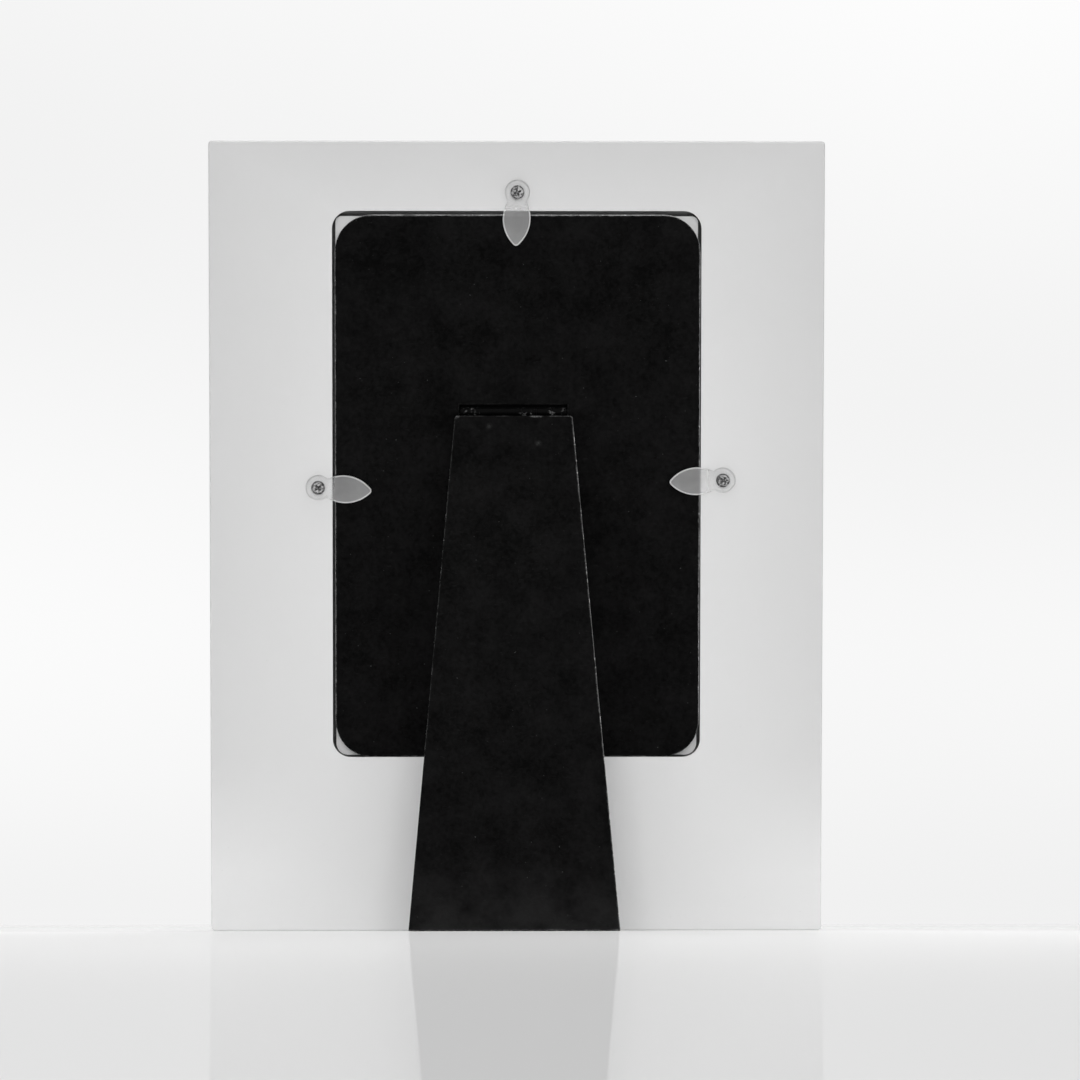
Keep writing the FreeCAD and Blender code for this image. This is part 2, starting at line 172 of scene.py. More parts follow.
# Prongs of the hinge leaf, which press small lumps into the leg's outer paper
prong_spread = 13.7
prong_drops = (4.75, 9.65)
lump_radius = 0.62
lump_height = 0.38
# The lumps' tops are painted paler: wear, and painted highlights as well
lump_rub_and_highlight = 0.3
lump_shares = ((1.0, 0.1), (0.15, 0.9))
patch_margin = 3.5
patch_top_margin = 2.5
patch_step = 0.35

# How finely the round shapes are drawn
hole_corners = 32
screw_corners = 120
screw_rings = 38
shoulder_steps = 12
side_steps = 24
tip_steps = 16
head_steps = 48
boss_steps = 24
board_corner_steps = 16

# An inset divides by a corner's cosine, and by no less than this
least_cosine = 0.4

# Edges that turn by more than these angles stay sharp
crease_angle = 40.0
screw_crease_angle = 55.0

# Noises in the materials: grain, detail and, where they are given, roughness and distortion
lacquer_cloud = (55.0, 3.0)
lacquer_speck = (0.9, 2.0, 0.6)
lacquer_peel = (1.6, 3.0, 0.55)
lacquer_sheen = (18.0, 3.0)
paper_cloud = (9.0, 3.0, 0.55)
paper_mottle = (1.3, 3.0, 0.6, 0.5)
paper_felt = (0.45, 3.0, 0.65, 0.6)
paper_strands = (0.5, 2.0, 0.5, 1.2)
paper_flecks = (0.8, 1.0)
core_fibre = (0.4, 4.0, 0.7, 1.0)
core_smudge = (3.2, 3.0, 0.6)
core_nicks = (1.3, 2.0, 0.6)
insert_tooth = (0.3, 3.0)
insert_cloud = (14.0, 2.0)
glass_wave = (40.0, 1.0)
steel_chips = (0.9, 3.0, 0.6, 0.5)
steel_scratches = (0.25, 2.0)
plastic_frost = (0.12, 2.0)
plastic_haze = (4.0, 2.0)
zinc_pits = (0.55, 3.0, 0.6, 0.5)
strand_stretch = (0.3, 1, 1)
scratch_stretch = (0.2, 1, 1)

# Spreads: the two values between which something rises, and the levels that it rises between, which
# are 0 and 1 where none are given. Most of any noise lies in the middle spread.
middle_spread = (0.3, 0.7)
lacquer_dust_spread = (0.72, 0.8, 0.0, 0.25)
lacquer_rough_spread = (0.3, 0.7, 0.4, 0.5)
paper_spread = (0.36, 0.64)
paper_strand_spread = (0.64, 0.76, 0.0, 0.5)
paper_fleck_spread = (0.78, 0.82, 0.0, 0.6)
paper_lighter_foot_spread = (0.2, 0.6)
paper_worn_and_highlight_spread = (0.35, 0.6)
paper_rough_spread = (0.3, 0.7, 0.55, 0.7)
core_smudge_spread = (0.46, 0.66, 0.0, 0.7)
core_nick_spread = (0.57, 0.66, 0.0, 0.8)
steel_glint_spread = (0.56, 0.66)
steel_rough_spread = (0.3, 0.7, 0.35, 0.5)
plastic_haze_spread = (0.3, 0.7, 0.28, 0.33)
plastic_neck_spread = (0.0, 0.08, 0.05, 0.85)
plastic_blade_spread = (0.08, 1.0, 0.0, 0.1)
plastic_glow_spread = (0.0, 1.0, 0.55, 0.2)
zinc_painted_reflection_spread = (0.42, 0.6)
zinc_rough_spread = (0.35, 0.65, 0.16, 0.4)

# Grey levels
lacquer_greys = (0.66, 0.685)
# Painted light and shade on the lacquer: lighter at its foot, darker towards its sides and top
lacquer_foot_painted_light_grey = 0.84
lacquer_outer_painted_shade_grey = 0.57
lacquer_dust_grey = 0.6
# Painted shade on the rebate's walls and floor, and painted light on its top wall
rebate_shade_greys = (0.045, 0.1)
rebate_top_painted_light_grey = 0.3
paper_greys = (0.0006, 0.0058)
paper_strand_grey = 0.012
paper_fleck_grey = 0.06
paper_lighter_foot_grey = 0.035
paper_worn_and_highlight_grey = 0.11
core_greys = (0.24, 0.56)
# Darker core within the leg's width, partly painted shade
darker_core_greys = (0.1, 0.28)
core_smudge_grey = 0.04
core_nick_grey = 0.8
insert_greys = (0.83, 0.85)
# The hinge's black paint, and the grey of its rubbed places and painted glints
steel_greys = (0.0012, 0.15)
plastic_grey = 0.98
# Zinc, and the dark of its painted shade and painted reflection
zinc_greys = (0.55, 0.07)
glass_tint = (0.975, 0.98, 0.977, 1.0)

# Relief, and how rough and how glossy each surface is
lacquer_relief = 0.012
lacquer_gloss = 0.4
paper_mottle_relief = 0.09
paper_felt_relief = 0.05
paper_felt_strength = 0.8
paper_gloss = 0.04
core_relief = 0.12
core_rough = 0.9
core_gloss = 0.15
insert_relief = 0.02
insert_rough = 0.6
insert_gloss = 0.3
glass_relief = 0.02
glass_rough = 0.02
glass_index = 1.5
steel_relief = 0.06
steel_gloss = 0.05
plastic_relief = 0.01
plastic_rough = 0.3
plastic_index = 1.18
plastic_rim_share = 0.3
zinc_relief = 0.35
zinc_gloss = 0.5

# Where the tones change: the lacquer, painted darker towards its outside and lighter towards its foot as painted
# shade and light; the paper, lighter towards the floor; and the core between the leg's width, which is darker and
# there paints shade on the board's cut edge, and the board, which shows beside it and above it
lacquer_painted_shade_share = 0.5
lacquer_foot_share = 1 / 3
paper_mix_shares = (0.45, 0.55)
lighter_foot_height = 22.0
lighter_foot_share = 0.3
board_core_fade = 3.0
board_core_height = 160.0

# Backdrop: how far up and sideways its shading reaches, as parts of a direction of length one, and its
# brightness from the floor line up, on the left and on the right
sky_top = 0.19
sky_side = 0.09
left_stops = ((0.0, 0.88), (0.13, 0.94), (0.3, 0.975), (0.53, 0.93), (0.77, 0.865), (1.0, 0.93))
right_stops = ((0.0, 0.87), (0.13, 0.91), (0.3, 0.95), (0.5, 0.88), (0.7, 0.92), (1.0, 1.0))

# Even light from all round
light_level = 0.25

# Floor: it fades out with the distance from its middle, and is duller towards the camera
floor_half = 3200.0
floor_middle = -700.0
floor_fade = (650.0, 1150.0)
floor_depths = (-1170.0, -650.0)
floor_greys = (0.93, 0.98)
floor_mirror_shares = (0.21, 0.25)
floor_mirror_rough = 0.02

# Lamps: place, what each is aimed at, its two sides and its power
lamps = {
    "lamp_left": ((-1500.0, -1100.0, 1300.0), (0.0, 0.0, 110.0), (1300.0, 1300.0), 2.45),
    "lamp_right": ((1600.0, -900.0, 1000.0), (0.0, 0.0, 110.0), (1300.0, 1300.0), 2.45),
    "lamp_picture_side": ((300.0, 2500.0, 1200.0), (0.0, 0.0, 110.0), (1400.0, 1400.0), 36.0),
    "lamp_front": ((0.0, -2600.0, 600.0), (0.0, 0.0, 110.0), (1600.0, 1200.0), 25.0),
    "lamp_foreground": ((0.0, -600.0, 600.0), (0.0, -599.0, 0.0), (700.0, 900.0), 0.8),
    "lamp_foot": ((0.0, -100.0, 650.0), (0.0, -99.0, 0.0), (800.0, 200.0), 1.7),
}
unseen_in_gloss = ("lamp_picture_side", "lamp_front", "lamp_foreground", "lamp_foot")

# Materials of the solids that show as they are
finishes = {
    "frame_panel": "panel_lacquer",
    "glass_pane": "clear_glass",
    "photo_insert": "insert_paper",
    "board_lining": "black_paper",
    "backing_board": "board_core",
    "leg_core": "board_core",
    "hinge_board_leaf": "hinge_steel",
    "hinge_leg_leaf": "hinge_steel",
    "hinge_pin": "hinge_steel",
}

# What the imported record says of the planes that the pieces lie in
mounts = {mount["name"]: mount for mount in frame["record"]["mounts"]}
joints = {joint["name"]: joint for joint in frame["joints"]}
lean = math.asin(mounts["panel_front"]["axis"][2])
leg_slope = math.asin(mounts["leg_foot"]["axis"][1])
panel_axes = Matrix.Rotation(lean, 4, "X")
leg_axes = Matrix.Rotation(leg_slope, 4, "X")


def turned_box(node, axes):
    """Lowest and highest corner of a node in axes of its own, in millimetres."""
    back = axes.inverted()
    corners = [back @ vertex.co * PER_MM for vertex in frame["nodes"][node].data.vertices]
    low = Vector([min(corner[n] for corner in corners) for n in range(3)])
    high = Vector([max(corner[n] for corner in corners) for n in range(3)])
    return low, high


def joint_place(name, axes):
    """Where a joint is, in axes of its own, in millimetres."""
    return axes.inverted() @ Vector(joints[name]["pos_m"]) * PER_MM


def add_object(name, data):
    """An object in the scene for a mesh, a lamp or the camera."""
    made = bpy.data.objects.new(name, data)
    bpy.context.scene.collection.objects.link(made)
    return made


def clamped(value):
    """A value kept between 0 and 1."""
    return max(0.0, min(1.0, value))


# Node trees for materials


def feed(tree, socket, value):
    """Links a socket to the one that feeds it, or gives it a plain value."""
    if isinstance(value, bpy.types.NodeSocket):
        tree.links.new(value, socket)
    else:
        socket.default_value = value


def add_node(tree, kind, inputs=None, **settings):
    """A node with its settings, and its inputs by name or by number."""
    node = tree.nodes.new(kind)
    for name, value in settings.items():
        setattr(node, name, value)
    for name, value in (inputs or {}).items():
        feed(tree, node.inputs[name], value)
    return node


def new_material(name):
    """An empty material and its node tree."""
    made = bpy.data.materials.new(name)
    made.use_nodes = True
    made.node_tree.nodes.clear()
    return made, made.node_tree


def show(tree, shader):
    """Sends a shader to the material's surface."""
    add_node(tree, "ShaderNodeOutputMaterial", {"Surface": shader})


def show_solid(tree, colour, rough, normal, gloss, metallic=0.0):
    """Makes the material an opaque one."""
    inputs = {
        "Base Color": colour,
        "Roughness": rough,
        "Normal": normal,
        "Specular IOR Level": gloss,
        "Metallic": metallic,
    }
    show(tree, add_node(tree, "ShaderNodeBsdfPrincipled", inputs).outputs["BSDF"])


def mixed_shader(tree, share, first, second):
    """A shader between two others."""
    node = add_node(tree, "ShaderNodeMixShader", {0: share, 1: first, 2: second})
    return node.outputs["Shader"]


def millimetres(tree, turn=0.0, stretch=(1, 1, 1)):
    """The piece's own coordinates in millimetres, turned about X and stretched."""
    place = add_node(tree, "ShaderNodeTexCoord").outputs["Object"]
    scale = [PER_MM * share for share in stretch]
    inputs = {"Vector": place, "Rotation": (turn, 0, 0), "Scale": scale}
    return add_node(tree, "ShaderNodeMapping", inputs).outputs["Vector"]


def parts_of(tree, place):
    """The three coordinates of a place."""
    return add_node(tree, "ShaderNodeSeparateXYZ", {"Vector": place}).outputs


def panel_parts(tree):
    """The piece's coordinates along the leaning panel: across it, through it and up it."""
    return parts_of(tree, millimetres(tree, -lean))


def noise_at(tree, place, grain, detail, roughness=0.5, distortion=0.0):
    """Cloudy noise whose blotches are about grain millimetres wide."""
    inputs = {
        "Vector": place,
        "Scale": 1 / grain,
        "Detail": detail,
        "Roughness": roughness,
        "Distortion": distortion,
    }
    return add_node(tree, "ShaderNodeTexNoise", inputs).outputs["Fac"]


def spread(tree, value, low, high, to_low=0.0, to_high=1.0):
    """A value between low and high brought to another range and kept inside it."""
    inputs = {
        "Value": value,
        "From Min": low,
        "From Max": high,
        "To Min": to_low,
        "To Max": to_high,
    }
    return add_node(tree, "ShaderNodeMapRange", inputs).outputs["Result"]


def maths(tree, operation, first, second=0.0):
    """One sum of one or two values."""
    node = add_node(tree, "ShaderNodeMath", {0: first, 1: second}, operation=operation)
    return node.outputs["Value"]


def product(tree, first, second):
    """Two values multiplied."""
    return maths(tree, "MULTIPLY", first, second)


def grey(level):
    """A neutral colour."""
    return (level, level, level, 1.0)


def mixed_colour(tree, share, first, second):
    """A colour between two others."""
    node = add_node(tree, "ShaderNodeMix", {"Factor": share}, data_type="RGBA")
    for socket, value in zip([s for s in node.inputs if s.type == "RGBA"], (first, second)):
        feed(tree, socket, value)
    return [s for s in node.outputs if s.type == "RGBA"][0]


def between(tree, share, greys):
    """A colour between two grey levels."""
    return mixed_colour(tree, share, grey(greys[0]), grey(greys[1]))


def bump(tree, height, depth, strength=1.0, under=None):
    """Relief as deep as stated in millimetres."""
    inputs = {"Height": height, "Distance": depth * MM, "Strength": strength}
    if under is not None:
        inputs["Normal"] = under
    return add_node(tree, "ShaderNodeBump", inputs).outputs["Normal"]


def attribute(tree, name):
    """A value kept on the piece's own corners."""
    return add_node(tree, "ShaderNodeAttribute", attribute_name=name).outputs["Fac"]


def inside(tree, value, low, high, soft):
    """1 where a value lies between two limits, fading to 0 over a soft step outside them."""
    rise = spread(tree, value, low - soft, low)
    return product(tree, rise, spread(tree, value, high, high + soft, 1.0, 0.0))


def in_rebate(tree):
    """1 on the walls and floor of the panel's rebate, which are painted dark as shade."""
    corner = turned_box("frame_panel", panel_axes)[0]
    parts = panel_parts(tree)
    soft = rebate_arris / 2
    across = inside(tree, parts["X"], -rebate_half_width - soft, rebate_half_width + soft, soft)
    foot = corner.z + rebate_foot - soft
    upright = inside(tree, parts["Z"], foot, corner.z + rebate_top + soft, soft)
    start = corner.y + rebate_arris
    through = inside(tree, parts["Y"], start, corner.y + rebate_depth + soft, soft)
    return product(tree, product(tree, across, upright), through)


def painted_shade_outwards(tree):
    """Painted shade on the lacquer: 0 beside the panel's rebate, rising to 1 at its sides and top, and 0 along its
    foot.
    """
    low, high = turned_box("frame_panel", panel_axes)
    parts = panel_parts(tree)
    sideways = spread(tree, maths(tree, "ABSOLUTE", parts["X"]), rebate_half_width, high.x)
    upwards = spread(tree, parts["Z"], low.z + rebate_top, high.z)
    foot = low.z + rebate_foot * lacquer_foot_share
    above_foot = spread(tree, parts["Z"], foot, low.z + rebate_foot)
    return product(tree, maths(tree, "MAXIMUM", sideways, upwards), above_foot)


def rebate_painted_shade(tree, speck):
    """The rebate's walls and floor, painted dark as shade, but for the top wall, painted paler as light from the
    floor.
    """
    top = turned_box("frame_panel", panel_axes)[0].z + rebate_top
    shaded_walls = between(tree, spread(tree, speck, *middle_spread), rebate_shade_greys)
    fade = [top - step for step in rebate_top_fade]
    lit_top_wall = spread(tree, panel_parts(tree)["Z"], *fade)
    return mixed_colour(tree, lit_top_wall, shaded_walls, grey(rebate_top_painted_light_grey))


def panel_lacquer():
    """White satin lacquer with faint orange peel and dust specks: painted light and shade, lighter at the foot,
    darker at the sides, top and rebate.
    """
    made, tree = new_material("panel_lacquer")
    place = millimetres(tree)
    speck = noise_at(tree, place, *lacquer_speck)
    cloud = spread(tree, noise_at(tree, place, *lacquer_cloud), *middle_spread)
    low, high = turned_box("frame_panel", panel_axes)
    # Painted light and shade: lighter towards the foot, darker towards the sides and top
    down = spread(tree, parts_of(tree, place)["Z"], low.z, high.z, 1.0, 0.0)
    tone = mixed_colour(tree, down, between(tree, cloud, lacquer_greys), grey(lacquer_foot_painted_light_grey))
    outer = product(tree, painted_shade_outwards(tree), lacquer_painted_shade_share)
    tone = mixed_colour(tree, outer, tone, grey(lacquer_outer_painted_shade_grey))
    dust_and_lighter_foot = spread(tree, speck, *lacquer_dust_spread)
    colour = mixed_colour(tree, dust_and_lighter_foot, tone, grey(lacquer_dust_grey))
    # Painted shade in the rebate
    colour = mixed_colour(tree, in_rebate(tree), colour, rebate_painted_shade(tree, speck))
    rough = spread(tree, noise_at(tree, place, *lacquer_sheen), *lacquer_rough_spread)
    peel = bump(tree, noise_at(tree, place, *lacquer_peel), lacquer_relief)
    show_solid(tree, colour, rough, peel, lacquer_gloss)
    return made


def black_paper():
    """Black board paper: matte and mottled, a few pale flecks, rubbed grey edges, lighter in clouds near the
    floor, painted highlights.
    """
    made, tree = new_material("black_paper")
    place = millimetres(tree)
    cloud = noise_at(tree, place, *paper_cloud)
    mottle = noise_at(tree, place, *paper_mottle)
    felt = noise_at(tree, place, *paper_felt)
    strands = noise_at(tree, millimetres(tree, stretch=strand_stretch), *paper_strands)
    large, small = [product(tree, *pair) for pair in zip((cloud, mottle), paper_mix_shares)]
    blotch = spread(tree, maths(tree, "ADD", large, small), *paper_spread)
    colour = between(tree, blotch, paper_greys)
    strand = spread(tree, strands, *paper_strand_spread)
    colour = mixed_colour(tree, strand, colour, grey(paper_strand_grey))
    fleck = spread(tree, noise_at(tree, place, *paper_flecks), *paper_fleck_spread)
    colour = mixed_colour(tree, fleck, colour, grey(paper_fleck_grey))
    # Lighter in clouds close to the floor
    low_down = spread(tree, parts_of(tree, place)["Z"], 0.0, lighter_foot_height, lighter_foot_share, 0.0)
    dust_and_lighter_foot = product(tree, low_down, spread(tree, cloud, *paper_lighter_foot_spread))
    colour = mixed_colour(tree, dust_and_lighter_foot, colour, grey(paper_lighter_foot_grey))
    # Rubbed grey at the edges, with painted highlights at two places on the leg's top and on the lumps
    worn = product(tree, attribute(tree, "wear_and_highlight"), spread(tree, felt, *paper_worn_and_highlight_spread))
    colour = mixed_colour(tree, worn, colour, grey(paper_worn_and_highlight_grey))
    normal = bump(tree, mottle, paper_mottle_relief)
    normal = bump(tree, felt, paper_felt_relief, paper_felt_strength, normal)
    show_solid(tree, colour, spread(tree, mottle, *paper_rough_spread), normal, paper_gloss)
    return made


def board_core():
    """The cut edge of grey board: layered, fibrous, nicked and smudged, and darker in the leg's width, painting
    shade in the slot.
    """
    made, tree = new_material("board_core")
    place = millimetres(tree)
    fibre = noise_at(tree, place, *core_fibre)
    layers = spread(tree, fibre, *middle_spread)
    parts = parts_of(tree, place)
    # Darker within the leg's width and below the board's top: the leg's own edges, and painted shade in the
    # hinge's slot
    across = maths(tree, "ABSOLUTE", parts["X"])
    beside = spread(tree, across, leg_top_width, leg_top_width + board_core_fade)
    above = spread(tree, parts["Z"], board_core_height, board_core_height + board_core_fade)
    on_board = maths(tree, "MAXIMUM", beside, above)
    darker_core = between(tree, layers, darker_core_greys)
    colour = mixed_colour(tree, on_board, darker_core, between(tree, layers, core_greys))
    smudge = spread(tree, noise_at(tree, place, *core_smudge), *core_smudge_spread)
    colour = mixed_colour(tree, smudge, colour, grey(core_smudge_grey))
    nick = spread(tree, noise_at(tree, place, *core_nicks), *core_nick_spread)
    colour = mixed_colour(tree, nick, colour, grey(core_nick_grey))
    show_solid(tree, colour, core_rough, bump(tree, fibre, core_relief), core_gloss)
    return made


def insert_paper():
    """Smooth white paper with a little tooth."""
    made, tree = new_material("insert_paper")
    place = millimetres(tree)
    cloud = spread(tree, noise_at(tree, place, *insert_cloud), *middle_spread)
    tooth = bump(tree, noise_at(tree, place, *insert_tooth), insert_relief)
    show_solid(tree, between(tree, cloud, insert_greys), insert_rough, tooth, insert_gloss)
    return made


def clear_glass():
    """A flat pane: what is behind it shows unbent, under a faint mirror that grows at a glance."""
    made, tree = new_material("clear_glass")
    wave = bump(tree, noise_at(tree, millimetres(tree), *glass_wave), glass_relief)
    through = add_node(tree, "ShaderNodeBsdfTransparent", {"Color": glass_tint}).outputs["BSDF"]
    mirror = add_node(tree, "ShaderNodeBsdfGlossy", {"Roughness": glass_rough, "Normal": wave})
    share = add_node(tree, "ShaderNodeFresnel", {"IOR": glass_index}).outputs["Fac"]
    show(tree, mixed_shader(tree, share, through, mirror.outputs["BSDF"]))
    return made


def hinge_steel():
    """Black paint on stamped steel, pale grey in a few places along the barrel: rubbed paint, and painted glints.
    """
    made, tree = new_material("hinge_steel")
    place = millimetres(tree)
    chip = noise_at(tree, place, *steel_chips)
    scratch = noise_at(tree, millimetres(tree, stretch=scratch_stretch), *steel_scratches)
    along = parts_of(tree, place)["X"]
    pin = joint_place("leg_hinge", panel_axes)
    glint_places = 0.0
    for share, half_length in rubbed_glint_knuckles:
        centre = pin.x + barrel_length * (share - 0.5)
        patch = inside(tree, along, centre - half_length, centre + half_length, half_length)
        glint_places = maths(tree, "MAXIMUM", patch, glint_places)
    # Painted highlights: pale patches at the barrel's glints, as well as rubbed paint
    rubbed_glint = product(tree, glint_places, spread(tree, chip, *steel_glint_spread))
    rough = spread(tree, scratch, *steel_rough_spread)
    relief = bump(tree, chip, steel_relief)
    show_solid(tree, between(tree, rubbed_glint, steel_greys), rough, relief, steel_gloss)
    return made


def milky_share(tree, place, rim):
    """How much of the plastic scatters light: most of the blade and its rim, little of the head."""
    haze = spread(tree, noise_at(tree, place, *plastic_haze), *plastic_haze_spread)
    blade = attribute(tree, "blade")
    body = product(tree, haze, spread(tree, blade, *plastic_neck_spread))
    body = maths(tree, "ADD", body, spread(tree, blade, *plastic_blade_spread))
    return maths(tree, "ADD", body, product(tree, rim, plastic_rim_share))


def button_plastic():
    """Frosted clear plastic: part of the light goes straight through and the rest is scattered."""
    made, tree = new_material("button_plastic")
    place = millimetres(tree)
    rim = attribute(tree, "rim")
    normal = bump(tree, noise_at(tree, place, *plastic_frost), plastic_relief)
    milk = {"Color": grey(plastic_grey), "Normal": normal}
    scatter = add_node(tree, "ShaderNodeBsdfDiffuse", milk).outputs["BSDF"]
    glow = add_node(tree, "ShaderNodeBsdfTranslucent", milk).outputs["BSDF"]
    milky = mixed_shader(tree, spread(tree, rim, *plastic_glow_spread), scatter, glow)
    clear = add_node(tree, "ShaderNodeBsdfTransparent", {"Color": grey(1.0)}).outputs["BSDF"]
    cloudy = mixed_shader(tree, milky_share(tree, place, rim), clear, milky)
    gloss = add_node(tree, "ShaderNodeBsdfGlossy", {"Roughness": plastic_rough, "Normal": normal})
    shine = add_node(tree, "ShaderNodeFresnel", {"IOR": plastic_index, "Normal": normal})
    show(tree, mixed_shader(tree, shine.outputs["Fac"], cloudy, gloss.outputs["BSDF"]))
    return made


def screw_zinc():
    """Dull, pitted zinc plate, painted dark in the recess as shade, and round the rim and between high spots as
    painted reflection.
    """
    made, tree = new_material("screw_zinc")
    pit = noise_at(tree, millimetres(tree), *zinc_pits)
    # Painted reflection: dark between the high spots
    dark_reflection = spread(tree, pit, *zinc_painted_reflection_spread)
    colour = between(tree, maths(tree, "MAXIMUM", attribute(tree, "recess"), dark_reflection), zinc_greys)
    rough = spread(tree, pit, *zinc_rough_spread)
    show_solid(tree, colour, rough, bump(tree, pit, zinc_relief), zinc_gloss, 1.0)
    return made


# Meshes, drawn in a plane across Y: x to the right, z up, and height outwards, towards -Y


def inset(outline, distance):
    """A closed outline, counter-clockwise, moved inwards by a distance square to its edges."""
    moved = []
    for number, point in enumerate(outline):
        before = (point - outline[number - 1]).normalized()
        after = (outline[(number + 1) % len(outline)] - point).normalized()
        tangent = (before + after).normalized()
        inward = Vector((-tangent.y, tangent.x))
        square = Vector((-after.y, after.x))
        moved.append(point + inward * distance / max(inward.dot(square), least_cosine))
    return moved


def arc(first, middle, last, count):
    """Points along the arc through three points, without the last."""
    ax, ay = first
    bx, by = middle
    cx, cy = last
    twice = 2 * (ax * (by - cy) + bx * (cy - ay) + cx * (ay - by))
    a, b, c = first.length_squared, middle.length_squared, last.length_squared
    centre_x = (a * (by - cy) + b * (cy - ay) + c * (ay - by)) / twice
    centre_y = (a * (cx - bx) + b * (ax - cx) + c * (bx - ax)) / twice
    centre = Vector((centre_x, centre_y))
    start = first - centre
    sweep = start.angle_signed(last - centre)
    half = start.angle_signed(middle - centre)
    if sweep * half < 0 or abs(sweep) < abs(half):
        sweep -= math.copysign(2 * math.pi, sweep)
    return [centre + Matrix.Rotation(-sweep * n / count, 2) @ start for n in range(count)]


def circle(radius, count):
    """Points round a circle, counter-clockwise."""
    turns = [2 * math.pi * n / count for n in range(count)]
    return [radius * Vector((math.cos(turn), math.sin(turn))) for turn in turns]


def new_mesh(*values):
    """An empty mesh whose corners keep some named values."""
    mesh = bmesh.new()
    for name in values:
        mesh.verts.layers.float.new(name)
    return mesh


def loop_at(mesh, outline, height):
    """The corners of a closed outline at one height."""
    return [mesh.verts.new((x * MM, -height * MM, z * MM)) for x, z in outline]


def band(mesh, first, second):
    """Faces between two loops of as many corners."""
    for n in range(len(first)):
        after = (n + 1) % len(first)
        mesh.faces.new((first[n], first[after], second[after], second[n]))


def moulding(mesh, outline, profile):
    """Bands that follow an outline. profile gives each loop's inset and height."""
    loops = [loop_at(mesh, inset(outline, step), height) for step, height in profile]
    for first, second in zip(loops, loops[1:]):
        band(mesh, first, second)
    return loops


def cap(mesh, *loops):
    """A flat face inside the first loop and outside the others."""
    edges = []
    for loop in loops:
        for n in range(len(loop)):
            pair = (loop[n - 1], loop[n])
            edges.append(mesh.edges.get(pair) or mesh.edges.new(pair))
    bmesh.ops.triangle_fill(mesh, use_beauty=True, edges=edges, normal=(0, -1, 0))


def weigh(mesh, name, loops, value):
    """Keeps a value on the corners of some loops: a number, or what a function says of a corner."""
    layer = mesh.verts.layers.float[name]
    for loop in loops:
        for corner in loop:
            corner[layer] = value(corner) if callable(value) else value


def finish_piece(name, mesh, matrix, body, node, slot, crease=crease_angle):
    """Turns a built mesh into a piece that stands for a node and moves with its body."""
    bmesh.ops.recalc_face_normals(mesh, faces=mesh.faces[:])
    data = bpy.data.meshes.new(name)
    mesh.to_mesh(data)
    mesh.free()
    data.transform(matrix)
    data.shade_smooth()
    data.set_sharp_from_angle(angle=math.radians(crease))
    data.materials.append(materials[slot])
    made = add_object(name, data)
    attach(made, body)
    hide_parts(node)


def along_edges(corners, step):
    """The outline through some corners, with points about step apart."""
    outline = []
    for number, corner in enumerate(corners):
        after = corners[(number + 1) % len(corners)]
        count = max(1, round((after - corner).length / step))
        outline += [corner.lerp(after, n / count) for n in range(count)]
    return outline


def frayed(outline, depth, seed):
    """An outline with a slightly uneven cut, moved inwards by up to about its depth."""
    cut = []
    for point, inward in zip(outline, inset(outline, 1.0)):
        share = abs(noise.noise(Vector((point.x, point.y, seed)))) / noise_peak
        cut.append(point + (inward - point) * (depth * share))
    return cut


def edge_wear(seed, share):
    """A function that says how rubbed an edge is at a corner, in long patches and short nicks."""
    shift = Vector((seed, 0, 0))

    def value(corner):
        place = corner.co * PER_MM
        patches = rub_patch_share * noise.noise(place / rub_patch_grain + shift)
        nicks = rub_nick_share * noise.noise(place / rub_nick_grain + shift)
        return share * clamped(rub_base_share + patches + nicks)

    return value


def button_outline():
    """The turn button's outline, its screw at the origin and its tip along +X."""
    waist = math.radians(button_waist_angle)
    waist_z = button_head_radius * math.sin(waist)
    shoulder_z = waist_z + (button_half_width - waist_z) * button_swell_share
    widest = button_length * button_widest_share
    reach = button_length - button_tip_radius - widest
    drop = button_half_width - button_tip_radius
    side_radius = (reach**2 + button_half_width**2 - button_tip_radius**2) / (2 * drop)
    side_end = math.asin(reach / (side_radius - button_tip_radius))

    def on_side(turn):
        """A point on the long side's arc, which ends where it meets the round tip."""
        x = widest + side_radius * math.sin(turn)
        return Vector((x, button_half_width - side_radius * (1 - math.cos(turn))))

    upper = [
        Vector((button_head_radius * math.cos(waist), waist_z)),
        Vector((button_length * button_shoulder_share, shoulder_z)),
        on_side(0.0),
        on_side(side_end / 2),
        on_side(side_end),
    ]
    lower = [Vector((p.x, -p.y)) for p in reversed(upper)]
    points = arc(upper[0], upper[1], upper[2], shoulder_steps)
    points += arc(upper[2], upper[3], upper[4], side_steps)
    points += arc(upper[4], Vector((button_length, 0)), lower[0], tip_steps)
    points += arc(lower[0], lower[1], lower[2], side_steps)
    points += arc(lower[2], lower[3], lower[4], shoulder_steps)
    points += arc(lower[4], Vector((-button_head_radius, 0)), upper[0], head_steps)
    return points[::-1]


def pocket_outline(outline):
    """The hollow of the blade: inside the rim, up to the round boss under the screw."""
    inner = [p for p in inset(outline, button_rim_width) if p.x > 0]
    inner = [p for p in inner if p.length > button_head_radius]
    if inner[0].y > 0:
        inner = inner[::-1]
    start = inner[-1].normalized() * button_head_radius
    nose = Vector((button_head_radius, 0))
    end = inner[0].normalized() * button_head_radius
    return inner + arc(start, nose, end, boss_steps)[1:]


